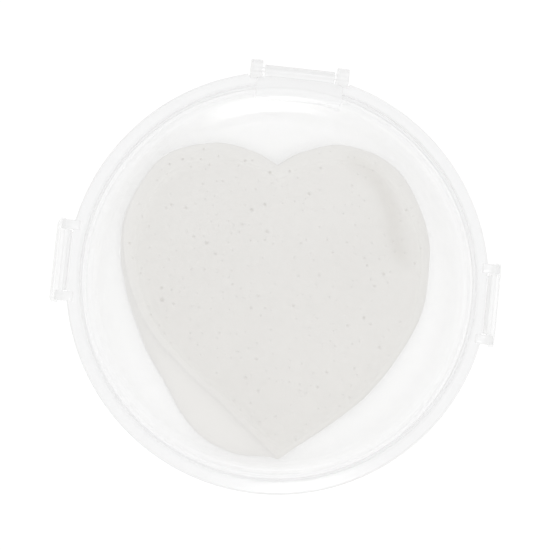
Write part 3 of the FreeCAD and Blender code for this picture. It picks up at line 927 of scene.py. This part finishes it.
def lattice(loop, pitch, generator, edge_margin):
    """Jittered points of a triangular lattice inside a loop."""
    low, high = loop.min(0), loop.max(0)
    rows = []
    for number, y in enumerate(np.arange(low[1], high[1], pitch * 0.866)):
        xs = np.arange(low[0] + (number % 2) * pitch / 2, high[0], pitch)
        rows.append(np.column_stack([xs, np.full(len(xs), y)]))
    points = np.vstack(rows)
    points += generator.uniform(-0.12, 0.12, points.shape) * pitch
    points = points[inside(points, loop)]
    edge = gap_to(points, closed(loop))
    return points[edge > edge_margin]


def inner_rings(loop, insets):
    """Copies of a loop moved inwards, without the points that a corner would push across."""
    kept = []
    for inset in insets:
        ring = loop - outward_of(loop) * inset
        fits = (gap_to(ring, closed(loop)) > 0.93 * inset) & inside(ring, loop)
        kept.append(ring[fits][:: 1 if inset < 2 else 2])
    return np.vstack(kept)


def pore_field(loop, generator):
    """Pore centres and radii, kept apart from each other and from the edge."""
    tries = generator.uniform(loop.min(0), loop.max(0), (PORE_TRIES, 2))
    sizes = generator.choice(PORE_RADII, PORE_TRIES, p=PORE_SHARES)
    fits = inside(tries, loop) & (gap_to(tries, closed(loop)) > PORE_FROM_EDGE)
    centres, radii = [], []
    for centre, size in zip(tries[fits], sizes[fits]):
        if centres:
            far = np.linalg.norm(np.array(centres) - centre, axis=1)
            if (far < 1.9 * (np.array(radii) + size) + PORE_APART).any():
                continue
        centres.append(centre)
        radii.append(size)
        if len(centres) == PORES:
            break
    return np.array(centres), np.array(radii)


def triangulate(points, loop_count):
    """Triangles between points whose first loop_count ones are the outline."""
    outline = [(i, (i + 1) % loop_count) for i in range(loop_count)]
    made = geometry.delaunay_2d_cdt([Vector(p) for p in points], outline, [], 0, 1e-7, False)
    flat = np.array([tuple(v) for v in made[0]])
    faces = np.array([tuple(f) for f in made[2]])
    return flat, [tuple(map(int, f)) for f in faces[inside(flat[faces].mean(1), points[:loop_count])]]


def settle(points, height):
    """Turn points on the heart to the tray's frame and give them their heights."""
    c, s = math.cos(HEART_TURN), math.sin(HEART_TURN)
    x, y = points[:, 0], points[:, 1]
    return np.column_stack([c * x - s * y, s * x + c * y, height])


def store(obj, name, values):
    attribute = obj.data.attributes.new(name, "FLOAT", "POINT")
    attribute.data.foreach_set("value", np.asarray(values, np.float32))


def film_outline():
    """The sponge's top outline, a little smaller and towards the tip."""
    return heart(LEFT_SIDE_TOP, 200, 220) * FILM_SCALE + FILM_SHIFT


def skin_points(top, centres, radii, generator):
    """Points for the sponge's top: its edge, a few rings inside it, a lattice, and rings round each
    pore."""
    loose = lattice(top, SKIN_PITCH, generator, 3.2)
    away = np.linalg.norm(loose[:, None] - centres[None], axis=2) > 1.6 * radii[None]
    spokes = np.linspace(0, 2 * math.pi, PORE_SPOKES, endpoint=False)
    ring = np.column_stack([np.cos(spokes), np.sin(spokes)])
    uneven = generator.uniform(0.8, 1.2, (len(centres), PORE_SPOKES))
    around = [
        (centres[:, None] + ring[None] * (radii[:, None] * uneven * share)[..., None]).reshape(-1, 2)
        for share in (0.5, 0.82, 1.0, 1.3)]
    return np.vstack([top, inner_rings(top, SKIN_RINGS), loose[away.all(1)], *around, centres])


def pit_depths(points, centres, radii):
    """How deep each point lies in a pore: round-bottomed, and deeper the wider the pore is."""
    pit = np.zeros(len(points))
    for centre, size in zip(centres, radii):
        far = np.linalg.norm(points - centre, axis=1) / size
        near = far < 1.5
        pit[near] = np.maximum(pit[near], np.clip(1.12 - far[near] ** 2, 0, 1) * size * PORE_DEEP)
    return pit


def make_sponge(finish):
    """A closed skin: a fine top with open pores, a side that slopes out at the lower left and a flat
    foot."""
    generator = np.random.default_rng(SEED)
    top, foot = heart(LEFT_SIDE_TOP), heart(LEFT_SIDE_FOOT)
    thick = SPONGE_HIGH.z - SPONGE_LOW.z
    centres, radii = pore_field(top, generator)
    flat, faces = triangulate(skin_points(top, centres, radii, generator), len(top))
    edge = gap_to(flat, closed(top))
    drop = top_swell(flat, edge)
    pit = pit_depths(flat, centres, radii)
    film = film_outline()
    under_film = gap_to(flat, closed(film)) * inside(flat, film)
    vertices = [settle(flat, SPONGE_HIGH.z - drop - pit)]
    # the pore mask also sets the painted shade inside each pore
    pore = [np.clip(pit / 0.4, 0, 1)]
    # painted light: paler close to the top's edge, more so towards the left
    painted_light_mask = [np.clip(1 - edge / 2.5, 0, 1) * (0.25 - 0.006 * flat[:, 0])]
    # a little darker under the film where it is wet, and painted shade along the crease
    crease_shade_and_wet = [np.clip(crease_mask(flat, 2.0) * 0.5 + np.clip(under_film / 2.2, 0, 1) * 0.06, 0, 1)]

    order = [int(np.argmin(((flat - p) ** 2).sum(1))) for p in top]
    rows = [order]
    count, start = len(top), len(flat)
    for share, bulge in SIDE_ROWS:
        mix = 0.5 - 0.5 * math.cos(math.pi * share)
        loop = top * (1 - mix) + foot * mix
        ripple = 0.08 * waves(loop, 9, 5, np.random.default_rng(SEED + int(share * 100)))
        height = SPONGE_HIGH.z - drop[order] * (1 - share) - thick * share
        vertices.append(settle(loop + outward_of(loop) * (bulge + ripple)[:, None], height))
        rows.append(list(range(start, start + count)))
        start += count
        pore.append(np.zeros(count))
        crease_shade_and_wet.append(np.zeros(count))
        # painted light: the side rows painted paler, most near the foot
        painted_light_mask.append(np.full(count, 0.15 + 0.36 * min(1.0, share * 4) + 0.3 * max(0.0, share - 0.7)))
    for upper, lower in zip(rows[:-1], rows[1:]):
        for i in range(count):
            ahead = (i + 1) % count
            faces.append((upper[i], lower[i], lower[ahead], upper[ahead]))
    faces.append(tuple(rows[-1]))
    sponge = new_object("heart_sponge", np.vstack(vertices), faces)
    for name, values in (("pore", pore), ("crease_shade_and_wet", crease_shade_and_wet), ("painted_light_mask", painted_light_mask)):
        store(sponge, name, np.concatenate(values))
    sponge.data.materials.append(finish)
    tidy_normals(sponge)
    sponge.data.shade_smooth()
    return sponge


def make_membrane(finish):
    """A film that clings to the sponge's top, a little smaller than it, with faint wrinkles."""
    generator = np.random.default_rng(SEED + 5)
    top = heart(LEFT_SIDE_TOP)
    loop = film_outline()
    loop += 0.07 * np.column_stack([waves(loop, 6, 4, generator), waves(loop, 5, 4, generator)])
    field = np.vstack([
        loop, inner_rings(loop, FILM_RINGS), lattice(loop, FILM_PITCH, generator, 1.2)])
    flat, faces = triangulate(field, len(loop))
    drop = top_swell(flat, gap_to(flat, closed(top)))
    wrinkle = 0.045 * waves(flat, 5.5, 9, generator) + 0.02 * waves(flat, 2.2, 9, generator)
    ridge = crease_mask(flat + [1.9, 0.7], 0.55) * 0.10
    height = SPONGE_HIGH.z + FILM_ABOVE_SPONGE - drop + wrinkle + ridge
    film = new_object("palette_film", settle(flat, height), faces)
    # painted shade along the crease
    store(film, "crease_shade_and_wet", crease_mask(flat, 1.8) * 0.9)
    store(film, "inner", np.clip(gap_to(flat, closed(loop)) / 1.6, 0, 1))
    film.data.materials.append(finish)
    film.data.shade_smooth()
    skin = film.modifiers.new("thickness", "SOLIDIFY")
    skin.thickness = FILM_THICK * MM
    skin.offset = 0
    bake_modifiers(film)
    return film


# ---------------------------------------------------------------- studio


def make_floor(finish):
    """A sheet just under the foot, 6 m each way."""
    half, below = 3000, -0.1
    corners = [(x * half, y * half, below) for x, y in ((-1, -1), (1, -1), (1, 1), (-1, 1))]
    floor = new_object("floor", corners, [(0, 1, 2, 3)])
    floor.data.materials.append(finish)


def area_light(name, place, aim, size, power, mirrored=True):
    data = bpy.data.lights.new(name, "AREA")
    data.shape = "ELLIPSE"
    data.size, data.size_y = size
    data.energy = power
    light = bpy.data.objects.new(name, data)
    light.location = place
    light.rotation_euler = (Vector(aim) - Vector(place)).to_track_quat("-Z", "Y").to_euler()
    light.visible_glossy = mirrored
    bpy.context.scene.collection.objects.link(light)


def make_studio():
    """A white tent: even light from all round, most of it from above, and one small softbox towards
    the front that glances off the lid's back slope."""
    world = bpy.data.worlds.new("studio")
    world.use_nodes = True
    tent = world.node_tree.nodes["Background"]
    tent.inputs["Color"].default_value = (1, 1, 1, 1)
    tent.inputs["Strength"].default_value = 0.82
    bpy.context.scene.world = world
    area_light("tent top", (0.0, 0.0, 1.5), (0, 0, 0), (0.7, 0.7), 8.2, mirrored=False)
    area_light("front softbox", (0.073, -0.223, 1.0), (-0.004, 0.035, 0.025), (0.22, 0.06), 0.5)
    bpy.context.scene.view_settings.view_transform = "Standard"


def make_camera():
    """Almost straight above, a few degrees towards the front left, and rolled so that the case lies
    turned a little clockwise. Its lens is set so that it takes in seen_width at the target."""
    distance, lean, seen_width = 0.400, 0.017, 0.1174
    film_width = 36
    roll = math.radians(5.9)
    right = Vector((math.cos(roll), math.sin(roll), 0))
    up = Vector((-math.sin(roll), math.cos(roll), 0))
    target = Vector((0, 0, LID_UNDER * MM)) - right * 0.00065 + up * 0.0016
    place = target - (right + up) * lean + Vector((0, 0, distance))
    data = bpy.data.cameras.new("camera")
    data.sensor_width = film_width
    data.lens = film_width * (place - target).length / seen_width
    data.clip_start = 0.01
    camera = bpy.data.objects.new("camera", data)
    forward = (target - place).normalized()
    side = forward.cross(up).normalized()
    turn = Matrix((side, side.cross(forward), -forward)).transposed()
    camera.matrix_world = Matrix.Translation(place) @ turn.to_4x4()
    bpy.context.scene.collection.objects.link(camera)
    bpy.context.scene.camera = camera


# ---------------------------------------------------------------- assembly


def lets_light_through(obj):
    """Thin milky walls scatter the light on instead of shading what lies behind them."""
    obj.visible_shadow = False
    obj.visible_diffuse = False


def finish_piece(obj, body, slot, *nodes):
    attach(obj, body)
    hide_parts(*nodes)


tray_plastic = natural_plastic("tray polypropylene", 0.25, 0.30)
lid_plastic = natural_plastic("lid polypropylene", 0.27, 0.35, has_land=True)
clip_plastic = natural_plastic("clip polypropylene", 0.38, 0.07, jut_tone=0.78)
turning = turning_tree()

tray = make_tray(turning, tray_plastic)
lid = make_lid(turning, lid_plastic)
seal = make_seal(turning, silicone("seal silicone"))
for shell in (tray, lid, seal):
    smooth_by_angle(shell)
    lets_light_through(shell)
finish_piece(tray, "base", "clear_plastic", "base_tray")
finish_piece(lid, "lid", "clear_plastic", "lid_shell")
finish_piece(seal, "lid", "silicone", "seal_ring")
for side, sign in (("left", -1), ("right", 1)):
    clip = make_clip(side, sign, clip_plastic)
    smooth_by_angle(clip)
    lets_light_through(clip)
    finish_piece(clip, f"{side}_clip", "clear_plastic", f"latch_{side}")
for name in ("hinge_pin", "latch_pin_left", "latch_pin_right"):
    node = frame["nodes"][name]
    node.data.materials.clear()
    node.data.materials.append(clip_plastic)
    lets_light_through(node)

sponge = make_sponge(foam("sponge foam"))
finish_piece(sponge, "base", "sponge", "sponge")
film = make_membrane(membrane("palette membrane"))
lets_light_through(film)
finish_piece(film, "base", "membrane", "palette_paper")

make_floor(studio_white("white floor"))
make_studio()
make_camera()
